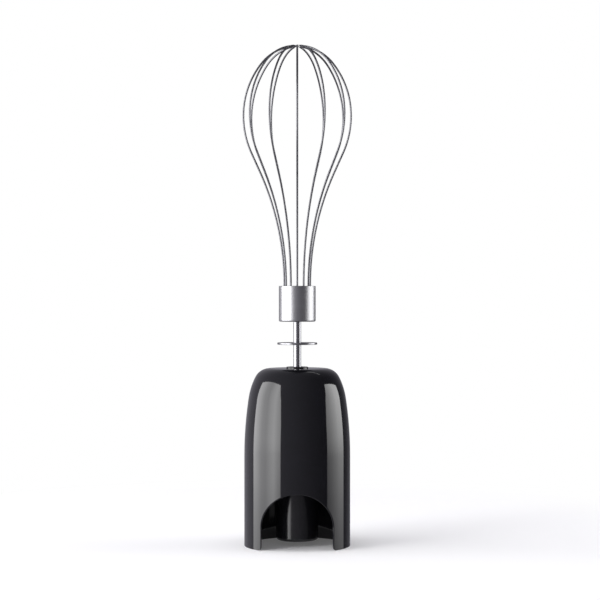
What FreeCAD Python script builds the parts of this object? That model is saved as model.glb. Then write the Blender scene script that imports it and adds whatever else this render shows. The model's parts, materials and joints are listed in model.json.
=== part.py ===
import FreeCAD, Part
import math
import os

from FreeCAD import Vector

# Balloon whisk of a hand blender, standing on the open rim of its gear coupling.
# The origin is the centre of the rim plane, +Z goes up the shaft to the whisk's crown,
# and -Y is the front, where the coupling has its arch. All sizes are millimetres.

# Coupling shell
shell_radius = 27.0
shell_wall = 2.4
long_arc_radius = 200.0
long_arc_turn = 8.5
shoulder_radius = 35.0
shoulder_turn = 27.0
corner_radius = 8.0
rim_rebate_depth = 0.6
rim_rebate_height = 2.8
arch_radius = 17.7
arch_height = 28.6
edge_round = 0.5
foot_round = 2.0
latch_width = 8.0
latch_height = 3.0
latch_depth = 1.0
latch_bottom = 12.0

# Mouth that takes the motor's nose, and the spigot inside it
mouth_depth = 38.0
spigot_radius = 10.8
spigot_wall = 1.8
spigot_setback = 2.75
spigot_round = 1.5
flange_thickness = 3.0
flange_gap = 0.15
flange_seal_width = 0.8
flange_seal_height = 1.0
bush_boss_radius = 6.5
bush_boss_drop = 8.0

# Screws and the bosses they go into
boss_radius = 2.6
boss_wall_gap = 0.4
boss_height = 14.0
boss_rib_width = 3.2
flange_screw_radius = 1.1
flange_screw_reach = 10.0
flange_screw_head_radius = 2.1
flange_screw_head_height = 1.5
cover_screw_radius = 1.0
cover_screw_reach = 6.5
cover_screw_head_radius = 1.9
cover_screw_head_height = 1.3
screw_hole_spare = 0.5
screw_hole_gap = 0.2
recess_length = 2.4
recess_width = 0.5
recess_depth = 0.6
ear_radius = 2.4
ear_height = 9.7
ear_offset = 0.6

# Gear train: two equal planetary stages in one ring gear
ring_teeth = 48
sun_teeth = 18
planet_teeth = 15
planet_count = 3
pressure_angle = 20.0
addendum_factor = 1.0
dedendum_factor = 1.25
ring_addendum_factor = 0.7
backlash = 0.06
gear_face = 6.8
case_gap = 1.0
case_wall = 2.85
carrier_thickness = 3.0
carrier_ring_gap = 0.7
planet_pin_radius = 1.5
carrier_shank_radius = 3.5
wear_plate_thickness = 1.6
wear_plate_gap = 0.4

# Clearances
running_gap = 0.05
axial_gap = 0.5

# Input shaft and the drive coupling on it
input_shaft_radius = 2.5
input_bush_wall = 2.0
input_bush_head_radius = 6.0
input_bush_head_height = 1.0
thrust_washer_radius = 5.0
thrust_washer_height = 0.5
coupling_radius = 7.2
coupling_hub_radius = 5.0
coupling_setback = 5.25
coupling_cup_depth = 12.0
socket_core_radius = 3.6
socket_slot_radius = 5.2
socket_slot_width = 1.8
socket_slot_count = 6
socket_depth = 8.0
socket_floor = 1.0

# Output hub, its bush, seal and nose ring
hub_radius = 6.0
hub_shank_radius = 5.0
hub_end = 1.0
hub_floor = 1.8
output_bush_wall = 1.95
output_bush_length = 15.0
output_washer_height = 1.0
circlip_height = 0.8
circlip_groove_depth = 0.5
circlip_radius = 7.0
circlip_opening = 3.0
cover_thickness = 3.0
neck_radius = 9.5
ledge_thickness = 0.9
ledge_width = 1.0
seal_height = 2.6
seal_gap = 0.04
seal_lip_depth = 1.4
seal_lip_width = 0.8
nose_sleeve_radius = 5.0
nose_sleeve_drop = 0.6
nose_bore_gap = 0.4
nose_flange_radius = 5.6
nose_flange_height = 0.8

# Whisk shaft, stop disc and collar
shaft_radius = 2.0
shaft_end_gap = 0.4
flats_height = 6.4
flats_depth = 0.4
clip_height = 1.0
clip_width = 0.95
clip_above_flats = 3.6
clip_opening = 1.2
shaft_groove_depth = 0.15
shaft_point = 0.4
disc_radius = 10.2
disc_thickness = 1.0
disc_round = 0.25
disc_above_shell = 12.1
collar_radius = 9.4
collar_height = 18.15
collar_wall = 0.8
collar_floor = 1.0
collar_round = 0.7
collar_above_shell = 23.8
core_recess = 0.8
core_shaft_depth = 15.2

# Whisk wires
wire_radius = 0.5
loop_count = 6
root_radius = 6.58
root_depth = 12.4
root_rise = 0.4
cage_radius = 27.46
cage_length = 122.4
dome_height = 35.6
crown_fullness = 0.844
belly_radius = 46.0
flank_straight = 10.7
lap_margin = 0.05

# Radii that follow
cavity_radius = shell_radius - shell_wall
boss_circle = cavity_radius - boss_wall_gap - boss_radius
case_radius = boss_circle - boss_radius - case_gap
ear_circle = case_radius + ear_offset
gear_module = (case_radius - case_wall) / (ring_teeth / 2 + dedendum_factor)
ring_tip_radius = gear_module * (ring_teeth / 2 - ring_addendum_factor)
planet_circle = gear_module * (sun_teeth + planet_teeth) / 2
carrier_radius = ring_tip_radius - carrier_ring_gap
flange_radius = cavity_radius - flange_gap
input_bush_radius = input_shaft_radius + running_gap + input_bush_wall
upper_washer_radius = gear_module * (sun_teeth / 2 - dedendum_factor) - axial_gap / 2
output_bush_radius = hub_radius + running_gap + output_bush_wall
core_radius = collar_radius - collar_wall

# Levels that follow, from the rim up
spigot_bottom = spigot_setback
coupling_bottom = spigot_bottom + coupling_setback
flange_bottom = mouth_depth
flange_top = flange_bottom + flange_thickness
bush_boss_bottom = flange_bottom - bush_boss_drop
first_gear_bottom = flange_top + wear_plate_thickness + axial_gap
first_gear_top = first_gear_bottom + gear_face
first_carrier_bottom = first_gear_top + axial_gap
first_carrier_top = first_carrier_bottom + carrier_thickness
second_gear_bottom = first_carrier_top + axial_gap
second_gear_top = second_gear_bottom + gear_face
second_carrier_bottom = second_gear_top + axial_gap
second_carrier_top = second_carrier_bottom + carrier_thickness
case_top = second_carrier_top + axial_gap
cover_top = case_top + cover_thickness
output_washer_top = second_carrier_top + output_washer_height
output_bush_bottom = output_washer_top + axial_gap
output_bush_top = output_bush_bottom + output_bush_length
circlip_bottom = output_bush_top + axial_gap
circlip_top = circlip_bottom + circlip_height
hub_top = circlip_top + hub_end
ledge_bottom = hub_top + axial_gap
ledge_top = ledge_bottom + ledge_thickness
seal_top = ledge_top + seal_height
roof_bottom = seal_top + nose_sleeve_drop
shell_height = roof_bottom + shell_wall
hub_socket_bottom = second_carrier_top + hub_floor
shaft_bottom = hub_socket_bottom + shaft_end_gap
clip_bottom = shaft_bottom + flats_height + clip_above_flats
disc_bottom = shell_height + disc_above_shell
collar_bottom = shell_height + collar_above_shell
collar_top = collar_bottom + collar_height
core_bottom = collar_bottom + collar_floor
core_top = collar_top - core_recess
crown_height = collar_top + cage_length
belly_height = crown_height - dome_height

# Directions of the screws and planets, counted from +X
boss_angles = [90 + 120 * n for n in range(3)]
ear_angles = [30 + 120 * n for n in range(3)]
planet_angles = [90 + 360 / planet_count * n for n in range(planet_count)]

up = Vector(0, 0, 1)


def at(radius, angle, z=0.0):
    turn = math.radians(angle)
    return Vector(radius * math.cos(turn), radius * math.sin(turn), z)


def cylinder(radius, bottom, top, centre=Vector(0, 0, 0)):
    return Part.makeCylinder(radius, top - bottom, Vector(centre.x, centre.y, bottom))


def tube(outer, inner, bottom, top, centre=Vector(0, 0, 0)):
    return cylinder(outer, bottom, top, centre).cut(cylinder(inner, bottom, top, centre))


def box(low, high):
    size = high - low
    return Part.makeBox(size.x, size.y, size.z, low)


def turned(shape, angle):
    copy = shape.copy()
    copy.rotate(Vector(0, 0, 0), up, angle)
    return copy


def polar(radius, z):
    return Vector(radius, 0, z)


def revolve(edges):
    """Turns a closed outline in the XZ plane about the Z axis."""
    return Part.Face(Part.Wire(edges)).revolve(Vector(0, 0, 0), up, 360)


def lines(points):
    return [Part.LineSegment(a, b).toShape() for a, b in zip(points, points[1:])]


def lathe(*outline):
    points = [polar(r, z) for r, z in outline]
    return revolve(lines(points + points[:1]))


def arc(centre, radius, start, end):
    middle = (start + end) / 2
    spots = [centre + polar(radius * math.cos(math.radians(a)), radius * math.sin(math.radians(a)))
             for a in (start, middle, end)]
    return Part.Arc(*spots).toShape()


def shell_form(inset, bottom):
    """The shell's round outer form, moved inwards by inset: a wall, three tangent arcs, a flat top."""
    long_turn = math.radians(long_arc_turn)
    side_turn = math.radians(shoulder_turn)
    rise = (long_arc_radius * math.sin(long_turn)
            + shoulder_radius * (math.sin(side_turn) - math.sin(long_turn))
            + corner_radius * (1 - math.sin(side_turn)))
    spring = shell_height - rise
    long_centre = polar(shell_radius - long_arc_radius, spring)
    side_centre = long_centre + (long_arc_radius - shoulder_radius) * polar(
        math.cos(long_turn), math.sin(long_turn))
    corner_centre = side_centre + (shoulder_radius - corner_radius) * polar(
        math.cos(side_turn), math.sin(side_turn))
    top = shell_height - inset
    wall = shell_radius - inset
    edges = [
        arc(long_centre, long_arc_radius - inset, 0, long_arc_turn),
        arc(side_centre, shoulder_radius - inset, long_arc_turn, shoulder_turn),
        arc(corner_centre, corner_radius - inset, shoulder_turn, 90),
    ]
    edges += lines([polar(corner_centre.x, top), polar(0, top), polar(0, bottom),
                    polar(wall, bottom), polar(wall, spring)])
    return revolve(Part.__sortEdges__(edges))


def arch_cut():
    """A round-topped opening through the front wall only."""
    centre_height = arch_height - arch_radius
    front = -shell_radius - 1
    back = 1 - math.sqrt(cavity_radius ** 2 - arch_radius ** 2)
    rounded = Part.makeCylinder(arch_radius, back - front, Vector(0, front, centre_height), Vector(0, 1, 0))
    sides = box(Vector(-arch_radius, front, -1), Vector(arch_radius, back, centre_height))
    return rounded.fuse(sides).removeSplitter()


def foot_corner(side):
    """What is taken off one foot of the arch to round its corner at the rim."""
    front = -shell_radius - 1
    back = 1 - math.sqrt(cavity_radius ** 2 - (arch_radius + foot_round) ** 2)
    low, high = sorted((side * (arch_radius - 1), side * (arch_radius + foot_round)))
    block = box(Vector(low, front, -1), Vector(high, back, foot_round))
    kept = Part.makeCylinder(foot_round, back - front, Vector(side * (arch_radius + foot_round), front, foot_round),
                             Vector(0, 1, 0))
    return block.cut(kept)


def screw_boss(angle):
    """One boss on the shell's wall, open below, with the screw's hole in it."""
    top = flange_top + boss_height
    spot = at(boss_circle, angle)
    post = cylinder(boss_radius, flange_top, top, spot)
    rib = box(Vector(boss_circle, -boss_rib_width / 2, flange_top),
              Vector(shell_radius - shell_wall / 2, boss_rib_width / 2, top))
    hole_top = flange_top + flange_screw_reach + screw_hole_spare
    hole = cylinder(flange_screw_radius, flange_top, hole_top, spot)
    return post.fuse(turned(rib, angle)).cut(hole)


def round_arch(shell):
    """Rounds the outer edge of the arch, where the hand meets it."""
    edges = []
    for edge in shell.Edges:
        middle = edge.valueAt((edge.FirstParameter + edge.LastParameter) / 2)
        on_outside = abs(math.hypot(middle.x, middle.y) - shell_radius) < 0.01
        ends = [vertex.Point for vertex in edge.Vertexes]
        flat = len(ends) == 2 and abs(ends[0].z) < 0.01 and abs(ends[1].z) < 0.01
        in_arch = abs(middle.x) < arch_radius + 0.01 and middle.y < 0 and middle.z < arch_height + 0.01
        if on_outside and in_arch and not flat:
            edges.append(edge)
    return shell.makeFillet(edge_round, edges)


def housing_shell():
    shell = shell_form(0, 0).cut(shell_form(shell_wall, -1))
    shell = shell.cut(cylinder(cavity_radius + rim_rebate_depth, 0, rim_rebate_height))
    shell = shell.cut(arch_cut())
    shell = round_arch(shell)
    for side in (-1, 1):
        shell = shell.cut(foot_corner(side))
    for angle in boss_angles:
        shell = shell.fuse(screw_boss(angle))
    latch = box(Vector(-cavity_radius - latch_depth, -latch_width / 2, latch_bottom),
                Vector(cavity_radius + latch_depth, latch_width / 2, latch_bottom + latch_height))
    shell = shell.cut(latch)
    return shell.cut(cylinder(nose_sleeve_radius, roof_bottom, shell_height))


def drive_spigot():
    """Round spigot that the motor's nose closes over, with the flange that shuts the gear case."""
    bore = spigot_radius - spigot_wall
    corner = polar(spigot_radius - spigot_round, spigot_bottom + spigot_round)
    edges = [arc(corner, spigot_round, -90, 0)]
    edges += lines([
        polar(spigot_radius, spigot_bottom + spigot_round), polar(spigot_radius, flange_bottom),
        polar(flange_radius, flange_bottom), polar(flange_radius, flange_top),
        polar(input_bush_radius, flange_top), polar(input_bush_radius, bush_boss_bottom),
        polar(bush_boss_radius, bush_boss_bottom), polar(bush_boss_radius, flange_bottom),
        polar(bore, flange_bottom), polar(bore, spigot_bottom),
        polar(spigot_radius - spigot_round, spigot_bottom),
    ])
    spigot = revolve(Part.__sortEdges__(edges))
    for angle in boss_angles:
        hole = flange_screw_radius + screw_hole_gap
        spigot = spigot.cut(cylinder(hole, flange_bottom, flange_top, at(boss_circle, angle)))
    low, high = flange_seal_levels()
    return spigot.cut(tube(flange_radius + 1, flange_radius - flange_seal_width, low, high))


def flange_seal_levels():
    middle = (flange_bottom + flange_top) / 2
    return middle - flange_seal_height / 2, middle + flange_seal_height / 2


def flange_seal():
    low, high = flange_seal_levels()
    return tube(cavity_radius, flange_radius - flange_seal_width, low, high)


def cross_recess(centre, low, high):
    """The crossed slots of a screw head."""
    long, short = recess_length / 2, recess_width / 2
    bars = [box(Vector(centre.x - x, centre.y - y, low), Vector(centre.x + x, centre.y + y, high))
            for x, y in ((long, short), (short, long))]
    return bars[0].fuse(bars[1])


def flange_screws():
    screws = []
    for angle in boss_angles:
        spot = at(boss_circle, angle)
        head_bottom = flange_bottom - flange_screw_head_height
        shank = cylinder(flange_screw_radius, flange_bottom, flange_top + flange_screw_reach, spot)
        head = cylinder(flange_screw_head_radius, head_bottom, flange_bottom, spot)
        recess = cross_recess(spot, head_bottom, head_bottom + recess_depth)
        screws.append(shank.fuse(head).cut(recess))
    return Part.makeCompound(screws)


def cover_screws():
    screws = []
    for angle in ear_angles:
        spot = at(ear_circle, angle)
        head_top = cover_top + cover_screw_head_height
        shank = cylinder(cover_screw_radius, case_top - cover_screw_reach, cover_top, spot)
        head = cylinder(cover_screw_head_radius, cover_top, head_top, spot)
        recess = cross_recess(spot, head_top - recess_depth, head_top)
        screws.append(shank.fuse(head).cut(recess))
    return Part.makeCompound(screws)


def involute(angle):
    return math.tan(angle) - angle


def tooth_outline(teeth, tip, root, play):
    """A closed spur-gear outline with involute flanks. play makes each tooth thicker, or thinner below 0."""
    pitch = gear_module * teeth / 2
    base = pitch * math.cos(math.radians(pressure_angle))
    half = math.pi / (2 * teeth) + play / (2 * pitch) + involute(math.radians(pressure_angle))

    def flank_angle(radius):
        return half - involute(math.acos(min(1, base / radius)))

    start = max(base, root)
    middle = (start + tip) / 2
    edges = []
    for tooth in range(teeth):
        centre = 360 * tooth / teeth
        after = 360 * (tooth + 1) / teeth

        def spot(radius, side):
            return at(radius, centre + side * math.degrees(flank_angle(max(radius, base))))

        for side in (-1, 1):
            edges.append(Part.Arc(spot(start, side), spot(middle, side), spot(tip, side)).toShape())
            if root < base:
                edges.append(Part.LineSegment(spot(root, side), spot(start, side)).toShape())
        edges.append(Part.Arc(spot(tip, -1), at(tip, centre), spot(tip, 1)).toShape())
        root_end = at(root, after - math.degrees(flank_angle(max(root, base))))
        root_middle = at(root, (centre + after) / 2)
        edges.append(Part.Arc(spot(root, 1), root_middle, root_end).toShape())
    return Part.Wire(Part.__sortEdges__(edges))


def toothed_prism(teeth, tip, root, play, bottom, top):
    outline = tooth_outline(teeth, tip, root, play)
    outline.translate(Vector(0, 0, bottom))
    return Part.Face(outline).extrude(Vector(0, 0, top - bottom))


def spur_gear(teeth, bottom, top, bore):
    pitch = gear_module * teeth / 2
    tip = pitch + gear_module * addendum_factor
    root = pitch - gear_module * dedendum_factor
    gear = toothed_prism(teeth, tip, root, -backlash, bottom, top)
    return gear.cut(cylinder(bore, bottom, top)) if bore else gear


def ring_gear_case():
    """Ring gear for both stages. Its tooth spaces are cut with the outline of an outside gear."""
    case = cylinder(case_radius, flange_top, case_top)
    for angle in ear_angles:
        case = case.fuse(cylinder(ear_radius, case_top - ear_height, case_top, at(ear_circle, angle)))
    root = case_radius - case_wall
    spaces = toothed_prism(ring_teeth, root, ring_tip_radius, backlash, flange_top, case_top)
    case = case.cut(turned(spaces, planet_angles[0]))
    hole_bottom = case_top - cover_screw_reach - screw_hole_spare
    for angle in ear_angles:
        case = case.cut(cylinder(cover_screw_radius, hole_bottom, case_top, at(ear_circle, angle)))
    return case


def gear_case_cover():
    """Lid of the gear case, with the long neck that holds the output bush and the shaft seal."""
    ledge_bore = nose_sleeve_radius - ledge_width
    cover = lathe(
        (output_bush_radius, case_top), (case_radius, case_top), (case_radius, cover_top),
        (neck_radius, cover_top), (neck_radius, roof_bottom), (nose_sleeve_radius, roof_bottom),
        (nose_sleeve_radius, ledge_top), (ledge_bore, ledge_top), (ledge_bore, ledge_bottom),
        (output_bush_radius, ledge_bottom))
    for angle in ear_angles:
        ear = cylinder(ear_radius, case_top, cover_top, at(ear_circle, angle))
        hole = cylinder(cover_screw_radius, case_top, cover_top, at(ear_circle, angle))
        cover = cover.fuse(ear.cut(cylinder(output_bush_radius, case_top, cover_top))).cut(hole)
    return cover


def input_bush():
    head_top = flange_top + input_bush_head_height
    bore = input_shaft_radius + running_gap
    return lathe((bore, bush_boss_bottom), (input_bush_radius, bush_boss_bottom),
                 (input_bush_radius, flange_top), (input_bush_head_radius, flange_top),
                 (input_bush_head_radius, head_top), (bore, head_top))


def wear_plate():
    inner = input_bush_head_radius + wear_plate_gap
    outer = ring_tip_radius - wear_plate_gap
    return tube(outer, inner, flange_top, flange_top + wear_plate_thickness)


def output_bush():
    return tube(output_bush_radius, hub_radius + running_gap, output_bush_bottom, output_bush_top)


def output_washer():
    return tube(output_bush_radius - axial_gap, hub_radius, second_carrier_top, output_washer_top)


def shaft_seal():
    """Rubber lip seal: a ring whose underside is hollow behind the lip."""
    bore = shaft_radius + seal_gap
    lip = bore + seal_lip_width
    rim = nose_sleeve_radius - seal_lip_width
    hollow = ledge_top + seal_lip_depth
    return lathe((bore, ledge_top), (lip, ledge_top), (lip, hollow), (rim, hollow), (rim, ledge_top),
                 (nose_sleeve_radius, ledge_top), (nose_sleeve_radius, seal_top), (bore, seal_top))


def nose_ring():
    bore = shaft_radius + nose_bore_gap
    top = shell_height + nose_flange_height
    ring = lathe((bore, seal_top), (nose_sleeve_radius, seal_top), (nose_sleeve_radius, shell_height),
                 (nose_flange_radius, shell_height), (nose_flange_radius, top), (bore, top))
    edge = [e for e in ring.Edges if abs(e.Vertexes[0].Z - top) < 0.01
            and abs(e.Vertexes[0].X - nose_flange_radius) < 0.01]
    return ring.makeFillet(nose_flange_height / 2, edge)


def input_shaft():
    return cylinder(input_shaft_radius, coupling_bottom + socket_depth + socket_floor, first_gear_top)


def coupling_top():
    return bush_boss_bottom - axial_gap - thrust_washer_height


def drive_coupling():
    """Female coupling with a splined socket that the motor's driver goes up into."""
    shaft_end = coupling_bottom + socket_depth + socket_floor
    cup_top = coupling_bottom + coupling_cup_depth
    coupling = cylinder(coupling_radius, coupling_bottom, cup_top)
    coupling = coupling.fuse(cylinder(coupling_hub_radius, cup_top, coupling_top()))
    coupling = coupling.cut(cylinder(input_shaft_radius, shaft_end, coupling_top()))
    socket_top = coupling_bottom + socket_depth
    socket = cylinder(socket_core_radius, coupling_bottom, socket_top)
    for n in range(socket_slot_count):
        slot = box(Vector(0, -socket_slot_width / 2, coupling_bottom),
                   Vector(socket_slot_radius, socket_slot_width / 2, socket_top))
        socket = socket.fuse(turned(slot, 360 / socket_slot_count * n))
    return coupling.cut(socket)


def lower_thrust_washer():
    return tube(thrust_washer_radius, input_shaft_radius, coupling_top(),
                coupling_top() + thrust_washer_height)


def upper_thrust_washer():
    """Washer under the first sun gear, inside the ring of planets."""
    bush_head_top = flange_top + input_bush_head_height
    return tube(upper_washer_radius, input_shaft_radius, bush_head_top + axial_gap / 2,
                first_gear_bottom)


def carrier(bottom, top, bore):
    plate = tube(carrier_radius, bore, bottom, top)
    for angle in planet_angles:
        plate = plate.cut(cylinder(planet_pin_radius, bottom, top, at(planet_circle, angle)))
    return plate


def planet_pins(bottom, top):
    return Part.makeCompound(
        [cylinder(planet_pin_radius, bottom, top, at(planet_circle, angle)) for angle in planet_angles])


def planet(bottom, top, angle):
    """A planet gear in mesh: a tooth space faces the sun and a tooth faces the ring."""
    gear = spur_gear(planet_teeth, bottom, top, planet_pin_radius + running_gap)
    gear.translate(Vector(planet_circle, 0, 0))
    return turned(gear, angle)


def sun_gear(bottom, top, bore):
    """A sun gear in mesh: a tooth points at each planet."""
    return turned(spur_gear(sun_teeth, bottom, top, bore), planet_angles[0])


def second_sun_gear():
    """Sun gear of the second stage, with the shank that the first carrier turns it by."""
    shank = cylinder(carrier_shank_radius, first_carrier_bottom, first_carrier_top)
    return sun_gear(first_carrier_top, second_gear_top, 0).fuse(shank)


def flats(radius, depth, bottom, top):
    """A round bar with two flats, as on the shaft's end and in the hub's socket."""
    bar = cylinder(radius, bottom, top)
    reach = radius - depth
    return bar.common(box(Vector(-radius, -reach, bottom), Vector(radius, reach, top)))


def split_ring(outer, inner, opening, bottom, top):
    gap = box(Vector(0, -opening / 2, bottom), Vector(outer + 1, opening / 2, top))
    return tube(outer, inner, bottom, top).cut(gap)


def output_hub():
    """Steel hub on the output carrier, with the socket that the whisk's shaft pushes into."""
    bore = shaft_radius + running_gap
    flats_top = shaft_bottom + flats_height - axial_gap
    hub = cylinder(hub_shank_radius, second_carrier_bottom, second_carrier_top)
    hub = hub.fuse(cylinder(hub_radius, second_carrier_top, hub_top))
    hub = hub.cut(flats(bore, flats_depth, hub_socket_bottom, flats_top))
    hub = hub.cut(cylinder(bore, flats_top, hub_top))
    hub = hub.cut(cylinder(bore + clip_width, clip_bottom, clip_bottom + clip_height))
    groove = hub_radius - circlip_groove_depth
    return hub.cut(tube(hub_radius + 1, groove, circlip_bottom, circlip_top))


def retaining_clip():
    bore = shaft_radius + running_gap
    return split_ring(bore + clip_width, bore, clip_opening, clip_bottom, clip_bottom + clip_height)


def output_circlip():
    return split_ring(circlip_radius, hub_radius - circlip_groove_depth, circlip_opening,
                      circlip_bottom, circlip_top)


def whisk_shaft():
    """Long steel shaft, with two flats and a clip groove at its lower end."""
    flats_top = shaft_bottom + flats_height
    top = core_bottom + core_shaft_depth
    shaft = cylinder(shaft_radius, flats_top, top)
    shaft = shaft.fuse(flats(shaft_radius, flats_depth, shaft_bottom, flats_top))
    point = lathe((0, shaft_bottom), (shaft_radius - shaft_point, shaft_bottom),
                  (shaft_radius, shaft_bottom + shaft_point), (shaft_radius, top), (0, top))
    groove = tube(shaft_radius + 1, shaft_radius - shaft_groove_depth, clip_bottom,
                  clip_bottom + clip_height)
    return shaft.common(point).cut(groove)


def stop_disc():
    disc = tube(disc_radius, shaft_radius, disc_bottom, disc_bottom + disc_thickness)
    rims = [e for e in disc.Edges if e.Curve.TypeId == "Part::GeomCircle"
            and abs(e.Curve.Radius - disc_radius) < 0.01]
    return disc.makeFillet(disc_round, rims)


def collar():
    """Drawn steel cup round the roots of the wires."""
    cup = lathe((shaft_radius, collar_bottom), (collar_radius, collar_bottom), (collar_radius, collar_top),
                (core_radius, collar_top), (core_radius, core_bottom), (shaft_radius, core_bottom))
    foot = [e for e in cup.Edges if e.Curve.TypeId == "Part::GeomCircle"
            and abs(e.Curve.Radius - collar_radius) < 0.01 and abs(e.Curve.Center.z - collar_bottom) < 0.01]
    return cup.makeFillet(collar_round, foot)


def wire_core():
    """Plug in the collar that holds the shaft's end and both ends of every wire."""
    core = cylinder(core_radius, core_bottom, core_top)
    core = core.cut(cylinder(shaft_radius, core_bottom, core_bottom + core_shaft_depth))
    for n in range(2 * loop_count):
        spot = at(root_radius, 180 / loop_count * n)
        core = core.cut(cylinder(wire_radius, core_top - root_depth, core_top, spot))
    return core


def wire_side(side):
    """Half of a loop's centre line, from the root up to the crown: tangent arcs and two straights."""
    root_bottom = core_top - root_depth
    root_top = collar_top + root_rise
    inward = cage_radius - root_radius
    drop = belly_height - root_top
    radii = (inward ** 2 + drop ** 2 - flank_straight ** 2) / (2 * inward)
    flank_radius = radii - belly_radius
    lean = math.degrees(math.atan2(drop, radii - inward) - math.atan2(flank_straight, radii))
    crown_radius = crown_fullness * cage_radius
    upper_radius = (cage_radius ** 2 + dome_height ** 2 - 2 * dome_height * crown_radius) / (
        2 * (cage_radius - crown_radius))
    crown_centre = polar(0, crown_height - crown_radius)
    upper_centre = polar(cage_radius - upper_radius, belly_height)
    meeting = math.degrees(math.atan2(crown_centre.z - upper_centre.z, crown_centre.x - upper_centre.x))
    root_arc = arc(polar(root_radius + flank_radius, root_top), flank_radius, 180, 180 - lean)
    belly_arc = arc(polar(cage_radius - belly_radius, belly_height), belly_radius, -lean, 0)
    edges = lines([polar(root_radius, root_bottom), polar(root_radius, root_top)])
    edges += [root_arc, belly_arc]
    edges += lines([root_arc.Vertexes[-1].Point, belly_arc.Vertexes[0].Point])
    edges += [arc(upper_centre, upper_radius, 0, meeting), arc(crown_centre, crown_radius, meeting, 90)]
    if side < 0:
        edges = [edge.mirror(Vector(0, 0, 0), Vector(1, 0, 0)) for edge in edges]
    return edges


def wire_path():
    """Centre line of one loop in the XZ plane."""
    return Part.Wire(Part.__sortEdges__(wire_side(1) + wire_side(-1)))


def wire_loop(n):
    """One wire loop. At the crown each loop keeps its own layer of the wire's height, so that all lap."""
    path = wire_path()
    start = path.OrderedVertexes[0].Point
    section = Part.Wire(Part.Circle(start, up, wire_radius).toShape())
    loop = path.makePipeShell([section], True, False)
    lap_radius = wire_radius / math.sin(math.radians(90 / loop_count)) + lap_margin
    layer = 2 * wire_radius / loop_count
    layer_bottom = crown_height - wire_radius + n * layer
    lap_bottom = crown_height - 3 * wire_radius
    lap_top = crown_height + 3 * wire_radius
    if n > 0:
        loop = loop.cut(cylinder(lap_radius, lap_bottom, layer_bottom))
    if n < loop_count - 1:
        loop = loop.cut(cylinder(lap_radius, layer_bottom + layer, lap_top))
    return turned(loop, 180 / loop_count * n)


def save(name, shape):
    shape.exportStep("parts/" + name + ".step")


def main():
    os.makedirs("parts", exist_ok=True)
    save("housing_shell", housing_shell())
    save("drive_spigot", drive_spigot())
    save("flange_seal", flange_seal())
    save("flange_screws", flange_screws())
    save("input_bush", input_bush())
    save("wear_plate", wear_plate())
    save("ring_gear_case", ring_gear_case())
    save("gear_case_cover", gear_case_cover())
    save("cover_screws", cover_screws())
    save("output_bush", output_bush())
    save("shaft_seal", shaft_seal())
    save("nose_ring", nose_ring())
    save("input_shaft", input_shaft())
    save("drive_coupling", drive_coupling())
    save("lower_thrust_washer", lower_thrust_washer())
    save("upper_thrust_washer", upper_thrust_washer())
    save("first_sun_gear", sun_gear(first_gear_bottom, first_gear_top, input_shaft_radius))
    save("first_carrier", carrier(first_carrier_bottom, first_carrier_top, carrier_shank_radius))
    save("first_planet_pins", planet_pins(first_gear_bottom, first_carrier_top))
    save("second_sun_gear", second_sun_gear())
    save("output_carrier", carrier(second_carrier_bottom, second_carrier_top, hub_shank_radius))
    save("second_planet_pins", planet_pins(second_gear_bottom, second_carrier_top))
    for number, angle in enumerate(planet_angles, 1):
        save("first_planet_" + str(number), planet(first_gear_bottom, first_gear_top, angle))
        save("second_planet_" + str(number), planet(second_gear_bottom, second_gear_top, angle))
    save("output_hub", output_hub())
    save("output_washer", output_washer())
    save("output_circlip", output_circlip())
    save("retaining_clip", retaining_clip())
    save("whisk_shaft", whisk_shaft())
    save("stop_disc", stop_disc())
    save("collar", collar())
    save("wire_core", wire_core())
    for n in range(loop_count):
        save("wire_loop_" + str(n + 1), wire_loop(n))


main()
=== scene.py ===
import json
import math

import bmesh
import bpy
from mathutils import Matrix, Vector


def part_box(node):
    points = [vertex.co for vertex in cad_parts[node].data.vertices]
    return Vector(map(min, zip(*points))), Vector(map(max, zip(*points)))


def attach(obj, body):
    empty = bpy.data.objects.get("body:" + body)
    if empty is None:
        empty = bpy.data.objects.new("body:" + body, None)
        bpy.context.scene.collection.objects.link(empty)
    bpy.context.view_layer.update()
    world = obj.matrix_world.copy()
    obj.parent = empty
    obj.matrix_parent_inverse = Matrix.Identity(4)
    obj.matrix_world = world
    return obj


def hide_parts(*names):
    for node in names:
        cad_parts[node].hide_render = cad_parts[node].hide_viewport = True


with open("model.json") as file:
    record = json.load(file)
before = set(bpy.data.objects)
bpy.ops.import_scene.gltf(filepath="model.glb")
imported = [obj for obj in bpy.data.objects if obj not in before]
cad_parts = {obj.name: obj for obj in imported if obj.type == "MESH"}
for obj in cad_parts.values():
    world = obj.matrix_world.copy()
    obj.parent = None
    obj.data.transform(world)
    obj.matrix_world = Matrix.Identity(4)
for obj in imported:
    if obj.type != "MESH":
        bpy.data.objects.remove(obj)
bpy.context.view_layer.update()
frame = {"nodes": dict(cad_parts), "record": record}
nodes = frame["nodes"]
mm = 0.001

# Balloon whisk in its gear coupling, standing on the coupling's open rim.
# +Z goes up the shaft, and the coupling's arch faces -Y, where the camera is.


def linearColour(hexColour):
    # sRGB hex to the linear values that shaders work in
    channels = [int(hexColour[i:i + 2], 16) / 255 for i in (1, 3, 5)]
    return [c / 12.92 if c <= 0.04045 else ((c + 0.055) / 1.055) ** 2.4 for c in channels] + [1.0]


def addNode(tree, kind, settings=None, inputs=None):
    # adds a node with its settings; an input takes a value or another node's output
    node = tree.nodes.new(kind)
    for name, value in (settings or {}).items():
        setattr(node, name, value)
    for key, value in (inputs or {}).items():
        if isinstance(value, bpy.types.NodeSocket):
            tree.links.new(value, node.inputs[key])
        else:
            node.inputs[key].default_value = value
    return node


# how much fainter each finer octave of a pattern is, and the part of its range that sways the colour
patternLook = {"octaveFade": 0.55, "from": 0.3, "to": 0.7}


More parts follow.
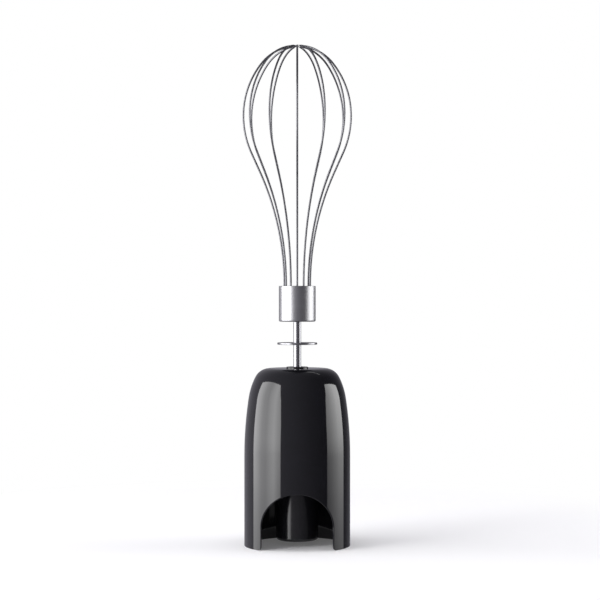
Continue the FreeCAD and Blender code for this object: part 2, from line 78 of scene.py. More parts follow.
def buildMaterial(name, look):
    # an opaque material: patches sway its colour and roughness, and a finer pattern raises its relief;
    # each pattern is given as its size, its detail and how far it is stretched along x, y and z
    material = bpy.data.materials.new(name)
    material.use_nodes = True
    tree = material.node_tree
    tree.nodes.clear()
    place = addNode(tree, "ShaderNodeTexCoord").outputs["Object"]
    kind = "ShaderNodeTexVoronoi" if look.get("pored") else "ShaderNodeTexNoise"
    heights = {}
    for pattern in ("patch", "relief"):
        size, detail, stretch = look[pattern]
        scaled = addNode(tree, "ShaderNodeMapping", inputs={
            "Vector": place, "Scale": [1 / s for s in stretch]})
        texture = addNode(tree, kind, inputs={
            "Vector": scaled.outputs[0], "Scale": 1 / size, "Detail": detail,
            "Roughness": patternLook["octaveFade"]})
        heights[pattern] = texture.outputs[0]
    share = addNode(tree, "ShaderNodeMapRange", inputs={
        "Value": heights["patch"], "From Min": look.get("from", patternLook["from"]),
        "From Max": look.get("to", patternLook["to"])})
    tint = addNode(tree, "ShaderNodeMix", {"data_type": "RGBA"}, {
        0: share.outputs[0], 6: linearColour(look["colour"]), 7: linearColour(look["paler"])})
    low, high = look["roughness"]
    rough = addNode(tree, "ShaderNodeMapRange", inputs={
        "Value": share.outputs[0], "To Min": low, "To Max": high})
    bump = addNode(tree, "ShaderNodeBump", inputs={
        "Height": heights["relief"], "Distance": look["depth"], "Strength": 1.0})
    even = {"ior": "IOR", "metallic": "Metallic", "subsurface": "Subsurface Weight"}
    sockets = {socket: look[key] for key, socket in even.items() if key in look}
    sockets.update({
        "Base Color": tint.outputs[2], "Roughness": rough.outputs[0], "Normal": bump.outputs[0]})
    shader = addNode(tree, "ShaderNodeBsdfPrincipled", inputs=sockets)
    addNode(tree, "ShaderNodeOutputMaterial", inputs={"Surface": shader.outputs[0]})
    return material


unstretched = (1, 1, 1)
# tool lines run round the Z axis, so they are stretched across it and stay fine along it
roundZ = (60, 60, 1)

# ABS from a mirror-polished mould: deep black, sharp reflections that waver very slightly
polishedBlackAbs = buildMaterial("polishedBlackAbs", {
    "colour": "#0b0b0e", "paler": "#0e0e12", "roughness": (0.035, 0.065), "ior": 1.5,
    "patch": (14 * mm, 4, unstretched), "relief": (6 * mm, 1, unstretched), "depth": 0.0012 * mm})

# ABS from a plain-machined mould: black with a soft satin gloss and a fine grain
mouldedBlackAbs = buildMaterial("mouldedBlackAbs", {
    "colour": "#0d0d0f", "paler": "#131316", "roughness": (0.15, 0.24), "ior": 1.5,
    "patch": (9 * mm, 3, (1, 1, 2.5)), "relief": (0.35 * mm, 2, unstretched), "depth": 0.004 * mm})

# dark grey acetal, moulded with a spark-eroded grain: waxy and matt
greyAcetal = buildMaterial("greyAcetal", {
    "colour": "#2b2c2f", "paler": "#36373a", "roughness": (0.36, 0.5), "ior": 1.48,
    "patch": (5 * mm, 3, unstretched), "relief": (0.5 * mm, 2, unstretched), "depth": 0.012 * mm})

# nylon with glass fibre: grey, matt, with pale fibre streaks along the flow
glassFilledNylon = buildMaterial("glassFilledNylon", {
    "colour": "#55575a", "paler": "#6c6e72", "roughness": (0.42, 0.6), "ior": 1.53,
    "patch": (0.3 * mm, 3, (1, 1, 9)), "relief": (0.3 * mm, 3, (1, 1, 9)), "depth": 0.01 * mm})

# natural acetal gear wheels: milky white, a little greasy
whiteAcetal = buildMaterial("whiteAcetal", {
    "colour": "#ebe8de", "paler": "#dcd9cd", "roughness": (0.42, 0.16), "ior": 1.48, "subsurface": 0.08,
    "patch": (2.5 * mm, 3, unstretched), "relief": (0.6 * mm, 2, unstretched), "depth": 0.003 * mm})

# pressed and sintered bronze powder: brown, open-pored and oily; pores drawn three times their size
sinteredBronze = buildMaterial("sinteredBronze", {
    "colour": "#8d6b3f", "paler": "#b08a55", "roughness": (0.6, 0.34), "metallic": 1.0, "pored": True,
    "patch": (0.3 * mm, 0, unstretched), "relief": (0.3 * mm, 0, unstretched), "depth": 0.01 * mm,
    "from": 0.1, "to": 0.6})

# centreless-ground stainless steel: satin grey, with hair-fine lines round it
turnedSteel = buildMaterial("turnedSteel", {
    "colour": "#8c8c8f", "paler": "#949497", "roughness": (0.25, 0.31), "metallic": 1.0,
    "patch": (0.12 * mm, 3, roundZ), "relief": (0.12 * mm, 3, roundZ), "depth": 0.00005 * mm})

# stainless cup brushed on a lathe: silky, with wide highlights; lines drawn twice their real width
brushedCollarSteel = buildMaterial("brushedCollarSteel", {
    "colour": "#9a9a9c", "paler": "#a3a3a5", "roughness": (0.34, 0.42), "metallic": 1.0,
    "patch": (0.2 * mm, 3, roundZ), "relief": (0.2 * mm, 3, roundZ), "depth": 0.0001 * mm})

# hard-drawn stainless wire, tumbled: mid grey, with a soft gloss that wavers along its length
drawnWire = buildMaterial("drawnWire", {
    "colour": "#68686b", "paler": "#717174", "roughness": (0.28, 0.36), "metallic": 1.0,
    "patch": (4 * mm, 4, unstretched), "relief": (2 * mm, 1, unstretched), "depth": 0.0005 * mm})

# polypropylene moulded round the wire ends: near black and matt
mouldedCore = buildMaterial("mouldedCore", {
    "colour": "#141416", "paler": "#1c1c1f", "roughness": (0.4, 0.54), "ior": 1.5,
    "patch": (0.4 * mm, 3, unstretched), "relief": (0.4 * mm, 3, unstretched), "depth": 0.01 * mm})

# tempered spring steel: dark blue-grey, with cloudy temper colours
bluedSpringSteel = buildMaterial("bluedSpringSteel", {
    "colour": "#3c4250", "paler": "#596070", "roughness": (0.24, 0.4), "metallic": 1.0,
    "patch": (1.5 * mm, 3, unstretched), "relief": (0.3 * mm, 2, unstretched), "depth": 0.001 * mm})

# bright zinc plate on a screw: cool grey, finely mottled
zincPlate = buildMaterial("zincPlate", {
    "colour": "#9fa1a6", "paler": "#b9bbc0", "roughness": (0.24, 0.4), "metallic": 1.0,
    "patch": (0.4 * mm, 3, unstretched), "relief": (0.4 * mm, 3, unstretched), "depth": 0.002 * mm})

# nitrile rubber with a trace of talc: matt black
nitrileRubber = buildMaterial("nitrileRubber", {
    "colour": "#17171a", "paler": "#1f1f22", "roughness": (0.58, 0.74), "ior": 1.52,
    "patch": (0.25 * mm, 3, unstretched), "relief": (0.25 * mm, 3, unstretched), "depth": 0.012 * mm})

materialOf = {
    "shell_plastic": polishedBlackAbs,
    "spigot_plastic": mouldedBlackAbs,
    "coupling_plastic": greyAcetal,
    "case_plastic": glassFilledNylon,
    "gear_plastic": whiteAcetal,
    "bush_bronze": sinteredBronze,
    "turned_steel": turnedSteel,
    "collar_steel": brushedCollarSteel,
    "wire_steel": drawnWire,
    "core_plastic": mouldedCore,
    "spring_steel": bluedSpringSteel,
    "screw_steel": zincPlate,
    "seal_rubber": nitrileRubber,
}
slotOf = {part["node"]: part["material_slot"] for part in frame["record"]["subparts"]}
bodyOf = {node: body for body, members in frame["record"]["behaviour"]["bodies"].items()
          for node in members}
for nodeName, node in nodes.items():
    node.data.materials.clear()
    node.data.materials.append(materialOf[slotOf[nodeName]])
print("materials:", len(materialOf))


def addPiece(mesh, name, *stoodFor):
    # a finished piece takes the body, slot and material of the node that it stands for
    piece = bpy.data.objects.new(name, mesh)
    bpy.context.scene.collection.objects.link(piece)
    mesh.materials.clear()
    mesh.materials.append(materialOf[slotOf[stoodFor[0]]])
    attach(piece, bodyOf[stoodFor[0]])
    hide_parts(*stoodFor)
    return piece


# mergeGap joins loose triangles; level, straight, axisGap and radial say which faces are taken for a
# level face or a round wall, and agreement is how near a worked-out normal stays to the face's own
smoothLook = {"mergeGap": 0.001 * mm, "level": 0.9995, "straight": 0.02, "axisGap": 0.2 * mm,
              "radial": 0.985, "agreement": 0.9, "sharpAngle": 35}


def mergedCopy(nodeName, meshName):
    # a CAD node's loose triangles, joined at their corners
    work = bmesh.new()
    work.from_mesh(nodes[nodeName].data)
    bmesh.ops.remove_doubles(work, verts=work.verts, dist=smoothLook["mergeGap"])
    mesh = bpy.data.meshes.new(meshName)
    work.to_mesh(mesh)
    work.free()
    return mesh


def roundNormal(face, point):
    # what a wall round the Z axis, or a level face, really faces at a point
    if abs(face.normal.z) > smoothLook["level"]:
        return face.normal
    radial = Vector((face.center.x, face.center.y, 0))
    if abs(face.normal.z) > smoothLook["straight"] or radial.length < smoothLook["axisGap"]:
        return None
    side = face.normal.dot(radial.normalized())
    if abs(side) < smoothLook["radial"]:
        return None
    return Vector((point.x, point.y, 0)).normalized() * math.copysign(1, side)


def smoothMesh(mesh, ruleList, sharpAngle):
    # smooth shading with the normals of the true surface wherever a rule knows it
    for face in mesh.polygons:
        face.use_smooth = True
    mesh.set_sharp_from_angle(angle=math.radians(sharpAngle))
    normals = [Vector(corner.vector) for corner in mesh.corner_normals]
    for face in mesh.polygons:
        for corner in face.loop_indices:
            point = mesh.vertices[mesh.loops[corner].vertex_index].co
            found = [rule(face, point) for rule in ruleList]
            found = [n for n in found if n is not None and n.dot(face.normal) > smoothLook["agreement"]]
            if found:
                normals[corner] = max(found, key=face.normal.dot)
    mesh.normals_split_custom_set(normals)


shellLook = {"wallRadius": 27 * mm, "wall": 2.4 * mm, "longArc": 200 * mm, "longTurn": 8.5,
             "shoulderArc": 35 * mm, "shoulderTurn": 27, "cornerArc": 8 * mm,
             "archRadius": 17.7 * mm, "archHeight": 28.6 * mm, "near": 0.03 * mm, "turnSpare": 0.01}


def shellRules():
    # the shell's outside is a wall, three tangent arcs and a flat top, and its inside runs parallel
    look = shellLook
    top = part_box("housing_shell")[1].z
    longTurn, shoulderTurn = math.radians(look["longTurn"]), math.radians(look["shoulderTurn"])
    rise = (look["longArc"] * math.sin(longTurn)
            + look["shoulderArc"] * (math.sin(shoulderTurn) - math.sin(longTurn))
            + look["cornerArc"] * (1 - math.sin(shoulderTurn)))
    centres = [(look["wallRadius"] - look["longArc"], top - rise)]
    for turn, step in ((longTurn, look["longArc"] - look["shoulderArc"]),
                       (shoulderTurn, look["shoulderArc"] - look["cornerArc"])):
        across, up = centres[-1]
        centres.append((across + step * math.cos(turn), up + step * math.sin(turn)))
    arcs = list(zip(centres, (look["longArc"], look["shoulderArc"], look["cornerArc"]),
                    (0, longTurn, shoulderTurn), (longTurn, shoulderTurn, math.pi / 2)))

    def bodyRule(face, point):
        radius = math.hypot(point.x, point.y)
        for (across, up), size, start, end in arcs:
            turn = math.atan2(point.z - up, radius - across)
            gap = math.hypot(radius - across, point.z - up) - size
            if not start - look["turnSpare"] <= turn <= end + look["turnSpare"]:
                continue
            outward = Vector((point.x, point.y, 0)).normalized() * math.cos(turn)
            outward.z = math.sin(turn)
            if abs(gap) < look["near"]:
                return outward
            if abs(gap + look["wall"]) < look["near"]:
                return -outward
        return None

    def archRule(face, point):
        up = point.z - (look["archHeight"] - look["archRadius"])
        if point.y > 0 or abs(face.normal.y) > smoothLook["straight"]:
            return None
        if up <= 0 and abs(abs(point.x) - look["archRadius"]) < look["near"]:
            return Vector((-math.copysign(1, point.x), 0, 0))
        if abs(math.hypot(point.x, up) - look["archRadius"]) < look["near"]:
            return Vector((-point.x, 0, -max(up, 0))).normalized()
        return None

    return [bodyRule, archRule, roundNormal]


roundNodes = ["drive_spigot", "flange_seal", "flange_screws", "input_bush", "input_shaft",
              "drive_coupling", "lower_thrust_washer", "shaft_seal", "nose_ring", "whisk_shaft",
              "wire_core"]

shellMesh = mergedCopy("housing_shell", "shellMesh")
smoothMesh(shellMesh, shellRules(), smoothLook["sharpAngle"])
addPiece(shellMesh, "couplingShell", "housing_shell")
for nodeName in roundNodes:
    pieceMesh = mergedCopy(nodeName, nodeName + "Mesh")
    smoothMesh(pieceMesh, [roundNormal], smoothLook["sharpAngle"])
    addPiece(pieceMesh, nodeName + "Smooth", nodeName)
print("smooth copies:", 1 + len(roundNodes))

latheLook = {"around": 160, "roundSteps": 5, "sharpAngle": 20}


def lathe(name, outline):
    # turns a closed outline of (radius, height, corner round) about the Z axis
    steps = latheLook["roundSteps"]
    path = []
    for index, (radius, height, rounding) in enumerate(outline):
        corner = Vector((radius, height))
        before = Vector(outline[index - 1][:2]) - corner
        after = Vector(outline[(index + 1) % len(outline)][:2]) - corner
        if not rounding:
            path.append(corner)
            continue
        half = before.angle(after) / 2
        reach = rounding / math.tan(half)
        inward = (before.normalized() + after.normalized()).normalized()
        centre = corner + inward * rounding / math.sin(half)
        start = corner + before.normalized() * reach - centre
        end = corner + after.normalized() * reach - centre
        first = math.atan2(start.y, start.x)
        turned = (math.atan2(end.y, end.x) - first + math.pi) % (2 * math.pi) - math.pi
        for step in range(steps + 1):
            turn = first + turned * step / steps
            path.append(centre + rounding * Vector((math.cos(turn), math.sin(turn))))
    work = bmesh.new()
    count = latheLook["around"]
    rings = []
    for n in range(count):
        turn = 2 * math.pi * n / count
        rings.append([work.verts.new((p.x * math.cos(turn), p.x * math.sin(turn), p.y))
                      for p in path])
    for n in range(count):
        ring, following = rings[n], rings[(n + 1) % count]
        for k in range(len(path)):
            m = (k + 1) % len(path)
            work.faces.new((ring[k], ring[m], following[m], following[k]))
    bmesh.ops.recalc_face_normals(work, faces=work.faces)
    mesh = bpy.data.meshes.new(name + "Mesh")
    work.to_mesh(mesh)
    work.free()
    smoothMesh(mesh, [roundNormal], latheLook["sharpAngle"])
    return mesh


shaftRadius = 2 * mm
collarLook = {"wall": 0.8 * mm, "floor": 1 * mm, "footRound": 0.7 * mm, "lipRound": 0.25 * mm}


def collarPiece():
    look = collarLook
    low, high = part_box("collar")
    outer, inner, floorTop = high.x, high.x - look["wall"], low.z + look["floor"]
    mesh = lathe("collar", [
        (shaftRadius, low.z, 0), (outer, low.z, look["footRound"]),
        (outer, high.z, look["lipRound"]), (inner, high.z, look["lipRound"]),
        (inner, floorTop, 0), (shaftRadius, floorTop, 0)])
    addPiece(mesh, "wireCollar", "collar")


discLook = {"rimRound": 0.25 * mm}


def discPiece():
    low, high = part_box("stop_disc")
    rimRound = discLook["rimRound"]
    mesh = lathe("disc", [(shaftRadius, low.z, 0), (high.x, low.z, rimRound),
                          (high.x, high.z, rimRound), (shaftRadius, high.z, 0)])
    addPiece(mesh, "stopDisc", "stop_disc")


collarPiece()
discPiece()
print("collar and disc turned")

wireLook = {"rootRadius": 6.58 * mm, "rootDepth": 12.4 * mm, "rootRise": 0.4 * mm,
            "coreRecess": 0.8 * mm, "domeHeight": 35.6 * mm, "crownFullness": 0.844,
            "bellyRadius": 46 * mm, "flankStraight": 10.7 * mm, "lapRadius": 2.0 * mm,
            "lapEnd": 3.4 * mm, "spacing": 1.2 * mm, "sides": 16, "sharpAngle": 50}


def arcPoints(centre, radius, start, end, spacing):
    # points along an arc, no further apart than the spacing
    count = max(2, math.ceil(abs(end - start) * radius / spacing))
    turns = [start + (end - start) * n / count for n in range(count + 1)]
    return [(centre[0] + radius * math.cos(t), centre[1] + radius * math.sin(t)) for t in turns]


def wirePath(cageRadius, collarTop, crownTop):
    # one loop's centre line: root, flank, straight, belly, upper dome and crown, tangent to each other
    look = wireLook
    rootTop = collarTop + look["rootRise"]
    rootBottom = collarTop - look["coreRecess"] - look["rootDepth"]
    bellyHeight = crownTop - look["domeHeight"]
    inward, drop = cageRadius - look["rootRadius"], bellyHeight - rootTop
    radii = (inward ** 2 + drop ** 2 - look["flankStraight"] ** 2) / (2 * inward)
    flankRadius = radii - look["bellyRadius"]
    lean = math.atan2(drop, radii - inward) - math.atan2(look["flankStraight"], radii)
    crownRadius = look["crownFullness"] * cageRadius
    dome = look["domeHeight"]
    upperRadius = (cageRadius ** 2 + dome ** 2 - 2 * dome * crownRadius) / 2
    upperRadius /= cageRadius - crownRadius
    crownCentre = (0, crownTop - crownRadius)
    upperCentre = (cageRadius - upperRadius, bellyHeight)
    meeting = math.atan2(crownCentre[1] - upperCentre[1], crownCentre[0] - upperCentre[0])
    spacing = look["spacing"]
    right = [(look["rootRadius"], rootBottom)]
    flankCentre = (look["rootRadius"] + flankRadius, rootTop)
    bellyCentre = (cageRadius - look["bellyRadius"], bellyHeight)
    right += arcPoints(flankCentre, flankRadius, math.pi, math.pi - lean, spacing)
    right += arcPoints(bellyCentre, look["bellyRadius"], -lean, 0, spacing)
    right += arcPoints(upperCentre, upperRadius, 0, meeting, spacing)[1:]
    right += arcPoints(crownCentre, crownRadius, meeting, math.pi / 2, spacing / 2)[1:]
    return right + [(-x, z) for x, z in reversed(right[:-1])]


def wireTree():
    # sweeps the loop, repeats it round the axis, and presses the crossings into one wire's height
    tree = bpy.data.node_groups.new("wireCage", "GeometryNodeTree")
    sockets = {}
    for name, kind in (("Path", "NodeSocketGeometry"), ("Loops", "NodeSocketInt"),
                       ("Wire Radius", "NodeSocketFloat"), ("Sides", "NodeSocketInt"),
                       ("Lap Radius", "NodeSocketFloat"), ("Lap End", "NodeSocketFloat"),
                       ("Steel", "NodeSocketMaterial")):
        sockets[name] = tree.interface.new_socket(name, in_out="INPUT", socket_type=kind).identifier
    tree.interface.new_socket("Cage", in_out="OUTPUT", socket_type="NodeSocketGeometry")
    given = addNode(tree, "NodeGroupInput").outputs

    line = addNode(tree, "GeometryNodeMeshToCurve", inputs={"Mesh": given["Path"]})
    middle = addNode(tree, "GeometryNodeCaptureAttribute")
    middle.capture_items.new("VECTOR", "Middle")
    tree.links.new(line.outputs[0], middle.inputs[0])
    tree.links.new(addNode(tree, "GeometryNodeInputPosition").outputs[0], middle.inputs[1])
    section = addNode(tree, "GeometryNodeCurvePrimitiveCircle",
                      inputs={"Resolution": given["Sides"], "Radius": given["Wire Radius"]})
    swept = addNode(tree, "GeometryNodeCurveToMesh", inputs={
        "Curve": middle.outputs[0], "Profile Curve": section.outputs[0], "Fill Caps": True})

    # each loop is turned by its share of half a turn, and has its own layer from -1 to 1 at the crown
    number = addNode(tree, "GeometryNodeInputIndex").outputs[0]
    turn = addNode(tree, "ShaderNodeMapRange", inputs={
        "Value": number, "From Max": given["Loops"], "To Max": math.pi}).outputs[0]
    halfway = addNode(tree, "ShaderNodeMath", {"operation": "ADD"}, {0: number, 1: 0.5}).outputs[0]
    layer = addNode(tree, "ShaderNodeMapRange", inputs={
        "Value": halfway, "From Max": given["Loops"], "To Min": -1.0, "To Max": 1.0}).outputs[0]
    spots = addNode(tree, "GeometryNodePoints", inputs={"Count": given["Loops"]})
    layered = addNode(tree, "GeometryNodeCaptureAttribute")
    layered.capture_items.new("FLOAT", "Layer")
    tree.links.new(spots.outputs[0], layered.inputs[0])
    tree.links.new(layer, layered.inputs[1])
    spin = addNode(tree, "ShaderNodeCombineXYZ", inputs={"Z": turn})
    loops = addNode(tree, "GeometryNodeInstanceOnPoints", inputs={
        "Points": layered.outputs[0], "Instance": swept.outputs[0], "Rotation": spin.outputs[0]})
    real = addNode(tree, "GeometryNodeRealizeInstances", inputs={"Geometry": loops.outputs[0]})

    # near the axis every loop is squeezed to one share of the wire's height and moved to its layer
    here = addNode(tree, "ShaderNodeSeparateXYZ",
                   inputs={0: addNode(tree, "GeometryNodeInputPosition").outputs[0]}).outputs
    centre = addNode(tree, "ShaderNodeSeparateXYZ", inputs={0: middle.outputs[1]}).outputs
    out = addNode(tree, "ShaderNodeMath", {"operation": "ABSOLUTE"}, {0: centre[0]}).outputs[0]
    share = addNode(tree, "ShaderNodeMath", {"operation": "DIVIDE"},
                    {0: 1.0, 1: given["Loops"]}).outputs[0]
    topmost = addNode(tree, "ShaderNodeMath", {"operation": "MULTIPLY"},
                      {0: layered.outputs[1], 1: given["Wire Radius"]}).outputs[0]
    squeeze = addNode(tree, "ShaderNodeMapRange", {"interpolation_type": "SMOOTHSTEP"}, {
        "Value": out, "From Min": given["Lap Radius"], "From Max": given["Lap End"],
        "To Min": share, "To Max": 1.0}).outputs[0]
    lift = addNode(tree, "ShaderNodeMapRange", {"interpolation_type": "SMOOTHSTEP"}, {
        "Value": out, "From Min": given["Lap Radius"], "From Max": given["Lap End"],
        "To Min": topmost, "To Max": 0.0}).outputs[0]
    squeezed = addNode(tree, "ShaderNodeMix", {"data_type": "FLOAT"},
                       {0: squeeze, 2: centre[2], 3: here[2]}).outputs[0]
    height = addNode(tree, "ShaderNodeMath", {"operation": "ADD"}, {0: squeezed, 1: lift}).outputs[0]
    moved = addNode(tree, "ShaderNodeCombineXYZ", inputs={"X": here[0], "Y": here[1], "Z": height})
    placed = addNode(tree, "GeometryNodeSetPosition",
                     inputs={"Geometry": real.outputs[0], "Position": moved.outputs[0]})
    smooth = addNode(tree, "GeometryNodeSetShadeSmooth", inputs={"Geometry": placed.outputs[0]})
    finished = addNode(tree, "GeometryNodeSetMaterial",
                       inputs={"Geometry": smooth.outputs[0], "Material": given["Steel"]})
    addNode(tree, "NodeGroupOutput", inputs={0: finished.outputs[0]})
    return tree, sockets


def wireCage():
    look = wireLook
    loopNames = sorted(name for name in nodes if name.startswith("wire_loop_"))
    boxes = [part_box(name) for name in loopNames]
    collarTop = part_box("collar")[1].z
    wireRadius = (boxes[0][1].y - boxes[0][0].y) / 2
    cageRadius = max(high.x for low, high in boxes) - wireRadius
    crownTop = max(high.z for low, high in boxes) - wireRadius
    path = wirePath(cageRadius, collarTop, crownTop)
    mesh = bpy.data.meshes.new("wirePath")
    mesh.from_pydata([(x, 0, z) for x, z in path], [(n, n + 1) for n in range(len(path) - 1)], [])
    holder = bpy.data.objects.new("wirePath", mesh)
    bpy.context.scene.collection.objects.link(holder)
    tree, sockets = wireTree()
    modifier = holder.modifiers.new("wireCage", "NODES")
    modifier.node_group = tree
    for name, value in (("Loops", len(loopNames)), ("Wire Radius", wireRadius),
                        ("Sides", look["sides"]), ("Lap Radius", look["lapRadius"]),
                        ("Lap End", look["lapEnd"]), ("Steel", materialOf["wire_steel"])):
        modifier[sockets[name]] = value
    evaluated = holder.evaluated_get(bpy.context.evaluated_depsgraph_get())
    cage = bpy.data.meshes.new_from_object(evaluated)
    cage.name = "wireCageMesh"
    bpy.data.objects.remove(holder)
    smoothMesh(cage, [], look["sharpAngle"])
    return addPiece(cage, "wireCage", *loopNames)


cagePiece = wireCage()
print("wire cage:", len(cagePiece.data.polygons), "faces")


stageLook = {"floorRadius": 0.3, "paleFrom": 0.16, "paleTo": 0.291, "floorColour": "#fbfbfb",
             "glow": 0.1, "footRadius": 0.025, "floorGap": 0.02 * mm, "floorSides": 96}


def floorMaterial():
    # white paper, which fades into the white background between paleFrom and paleTo
    look = stageLook
    material = bpy.data.materials.new("paleFloor")
    material.use_nodes = True
    tree = material.node_tree
    tree.nodes.clear()
    place = addNode(tree, "ShaderNodeTexCoord").outputs["Object"]
    reach = addNode(tree, "ShaderNodeVectorMath", {"operation": "LENGTH"}, {0: place}).outputs["Value"]
    fade = addNode(tree, "ShaderNodeMapRange", {"interpolation_type": "SMOOTHSTEP"}, {
        "Value": reach, "From Min": look["paleFrom"], "From Max": look["paleTo"]}).outputs[0]
    matt = addNode(tree, "ShaderNodeBsdfDiffuse", inputs={"Color": linearColour(look["floorColour"])})
    glow = addNode(tree, "ShaderNodeEmission", inputs={"Strength": look["glow"]})
    paper = addNode(tree, "ShaderNodeAddShader", inputs={0: matt.outputs[0], 1: glow.outputs[0]})
    white = addNode(tree, "ShaderNodeEmission", inputs={"Strength": 1.0})
    blend = addNode(tree, "ShaderNodeMixShader",
                    inputs={0: fade, 1: paper.outputs[0], 2: white.outputs[0]})
    addNode(tree, "ShaderNodeOutputMaterial", inputs={"Surface": blend.outputs[0]})
    return material


def addFloor(name, radius, drop, material):
    # a round floor, which casts no shadow because the softboxes reach down past it
    work = bmesh.new()
    bmesh.ops.create_circle(work, cap_ends=True, radius=radius, segments=stageLook["floorSides"])
    mesh = bpy.data.meshes.new(name + "Mesh")
    work.to_mesh(mesh)
    work.free()
    mesh.materials.append(material)
    floor = bpy.data.objects.new(name, mesh)
    floor.location.z = -drop
    floor.visible_shadow = False
    bpy.context.scene.collection.objects.link(floor)
    return floor


# Softboxes are upright panels round the object. side is the panel's turn from the camera's side
# towards +X, in degrees, and low and high are its edges. across and rise are (place, brightness) stops
# along its width and height. topEdge is the share of its height that is lit at each end. frontEdge
# keeps what is on one side of a line: the share of the height where the line starts to lean, and its
# places along the width at the foot and at the top.
softboxes = {
    "leftSoftbox": {
        "side": -72.5, "distance": 1.2, "width": 1.776, "low": -0.3, "high": 1.1, "glow": 6.5,
        "across": ((0, 0.8), (0.22, 0.8), (0.375, 0.63), (0.51, 0.62), (0.63, 0.84), (0.755, 1),
                   (0.89, 0.78), (1, 0.66)),
        "rise": ((0, 0.3), (0.08, 0.5), (0.105, 0.6), (0.14, 0.8), (0.25, 1), (1, 0.95)),
        "topEdge": (0.748, 0.996), "frontEdge": ("LESS_THAN", 0.35, 1, 0.8)},
    "rightSoftbox": {
        "side": 93.2, "distance": 1.2, "width": 1.16, "low": -0.3, "high": 1.0, "glow": 5.8,
        "across": ((0, 0.5), (0.2, 0.65), (0.41, 0.85), (0.65, 1), (0.93, 0.83), (1, 0.8)),
        "rise": ((0, 0.12), (0.088, 0.19), (0.113, 0.25), (0.152, 0.37), (0.265, 0.72),
                 (0.42, 0.95), (1, 1)),
        "topEdge": (0.923, 0.617), "frontEdge": ("GREATER_THAN", 0.35, 0, 0.35)},
    "topStrip": {
        "side": 152.5, "distance": 0.552, "width": 0.85, "low": 1.05, "high": 1.1, "glow": 3,
        "across": ((0, 1), (1, 1)), "rise": ((0, 1), (1, 1)),
        "topEdge": (2, 2), "frontEdge": ("LESS_THAN", 0, 2, 2)},
}
overheadLook = {"height": 1.3, "width": 0.9, "glow": 1.8}
worldLook = {"left": "#bdbbc4", "right": "#4b4a50"}


def addSoftbox(name, look):
    # an area light whose panel is brighter and darker as its look says; glow is its brightest value
    side = math.radians(look["side"])
    height = look["high"] - look["low"]
    light = bpy.data.lights.new(name, "AREA")
    light.shape = "RECTANGLE"
    light.size, light.size_y = look["width"], height
    light.energy = look["glow"] * math.pi * look["width"] * height
    light.use_nodes = True
    tree = light.node_tree
    tree.nodes.clear()
    spot = addNode(tree, "ShaderNodeSeparateXYZ",
                   inputs={0: addNode(tree, "ShaderNodeNewGeometry").outputs["Parametric"]}).outputs
    edge = addNode(tree, "ShaderNodeMapRange", inputs={
        "Value": spot[0], "To Min": look["topEdge"][0], "To Max": look["topEdge"][1]}).outputs[0]
    below = addNode(tree, "ShaderNodeMath", {"operation": "LESS_THAN"}, {0: spot[1], 1: edge}).outputs[0]
    operation, cutFrom, atFoot, atTop = look["frontEdge"]
    line = addNode(tree, "ShaderNodeMapRange", inputs={
        "Value": spot[1], "From Min": cutFrom, "To Min": atFoot, "To Max": atTop}).outputs[0]
    inside = addNode(tree, "ShaderNodeMath", {"operation": operation}, {0: spot[0], 1: line}).outputs[0]
    level = addNode(tree, "ShaderNodeMath", {"operation": "MULTIPLY"}, {0: below, 1: inside}).outputs[0]
    for along, stops in zip(spot, (look["across"], look["rise"])):
        ramp = addNode(tree, "ShaderNodeValToRGB", inputs={0: along})
        points = ramp.color_ramp.elements
        while len(points) < len(stops):
            points.new(0.5)  # any place will do, because every stop is placed below
        for point, (place, bright) in zip(points, stops):
            point.position = place
            point.color = (bright, bright, bright, 1)
        level = addNode(tree, "ShaderNodeMath", {"operation": "MULTIPLY"},
                        {0: level, 1: ramp.outputs[0]}).outputs[0]
    glow = addNode(tree, "ShaderNodeEmission", inputs={"Strength": level})
    addNode(tree, "ShaderNodeOutputLight", inputs={"Surface": glow.outputs[0]})
    lamp = bpy.data.objects.new(name, light)
    middle = (look["high"] + look["low"]) / 2
    lamp.location = (math.sin(side) * look["distance"], -math.cos(side) * look["distance"], middle)
    lamp.rotation_euler = (math.pi / 2, 0, side)
    lamp.visible_camera = False
    bpy.context.scene.collection.objects.link(lamp)


def addOverhead():
    # a broad fill that whitens the floor and isn't mirrored in the gloss
    look = overheadLook
    light = bpy.data.lights.new("overheadFill", "AREA")
    light.size = look["width"]
    light.energy = look["glow"] * math.pi * look["width"] ** 2
    lamp = bpy.data.objects.new("overheadFill", light)
    lamp.location.z = look["height"]
    lamp.visible_camera = False
    lamp.visible_glossy = False
    bpy.context.scene.collection.objects.link(lamp)


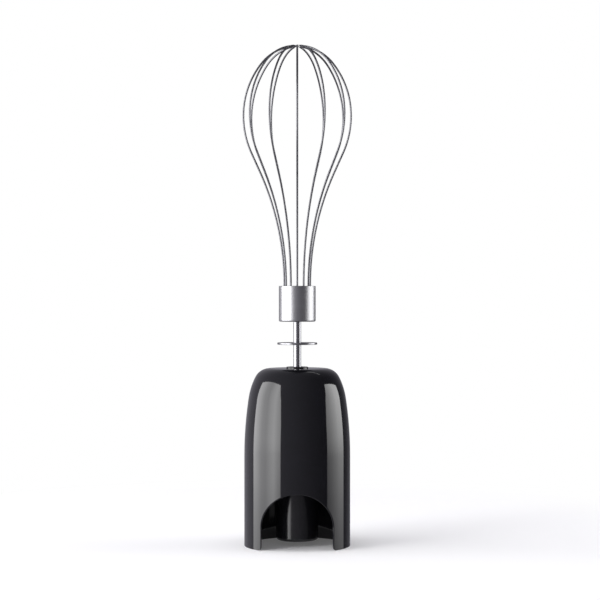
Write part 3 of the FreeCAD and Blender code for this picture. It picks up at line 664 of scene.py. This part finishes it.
def addWorld():
    # the studio walls are paler on the left, and the camera sees plain white behind the object
    world = bpy.data.worlds.new("studio")
    world.use_nodes = True
    tree = world.node_tree
    tree.nodes.clear()
    seen = addNode(tree, "ShaderNodeLightPath").outputs["Is Camera Ray"]
    toward = addNode(tree, "ShaderNodeTexCoord").outputs["Generated"]
    across = addNode(tree, "ShaderNodeSeparateXYZ", inputs={0: toward}).outputs[0]
    share = addNode(tree, "ShaderNodeMapRange",
                    inputs={"Value": across, "From Min": -1, "From Max": 1}).outputs[0]
    walls = addNode(tree, "ShaderNodeMix", {"data_type": "RGBA"}, {
        0: share, 6: linearColour(worldLook["left"]), 7: linearColour(worldLook["right"])}).outputs[2]
    grey = addNode(tree, "ShaderNodeBackground", inputs={"Color": walls})
    white = addNode(tree, "ShaderNodeBackground", inputs={"Color": (1, 1, 1, 1)})
    mix = addNode(tree, "ShaderNodeMixShader",
                  inputs={0: seen, 1: grey.outputs[0], 2: white.outputs[0]})
    addNode(tree, "ShaderNodeOutputWorld", inputs={"Surface": mix.outputs[0]})
    bpy.context.scene.world = world


cameraLook = {"place": (0.0014, -0.811, 0.1248), "lens": 95.4, "sensorWidth": 36, "clip": (0.01, 20)}


def addCamera():
    camera = bpy.data.cameras.new("camera")
    camera.lens = cameraLook["lens"]
    camera.sensor_width = cameraLook["sensorWidth"]
    camera.clip_start, camera.clip_end = cameraLook["clip"]
    eye = bpy.data.objects.new("camera", camera)
    eye.location = cameraLook["place"]
    eye.rotation_euler = (math.pi / 2, 0, 0)
    bpy.context.scene.collection.objects.link(eye)
    bpy.context.scene.camera = eye


# the gloss outside mirrors the softboxes right down to the rim, and only the gloss inside sees the floor
paleFloor = floorMaterial()
addFloor("floor", stageLook["floorRadius"], stageLook["floorGap"] * 2, paleFloor).visible_glossy = False
addFloor("innerFloor", stageLook["footRadius"], stageLook["floorGap"], paleFloor)
for softboxName, softboxLook in softboxes.items():
    addSoftbox(softboxName, softboxLook)
addOverhead()
addWorld()
addCamera()
bpy.context.scene.view_settings.view_transform = "Standard"
print("stage, lights and camera set")
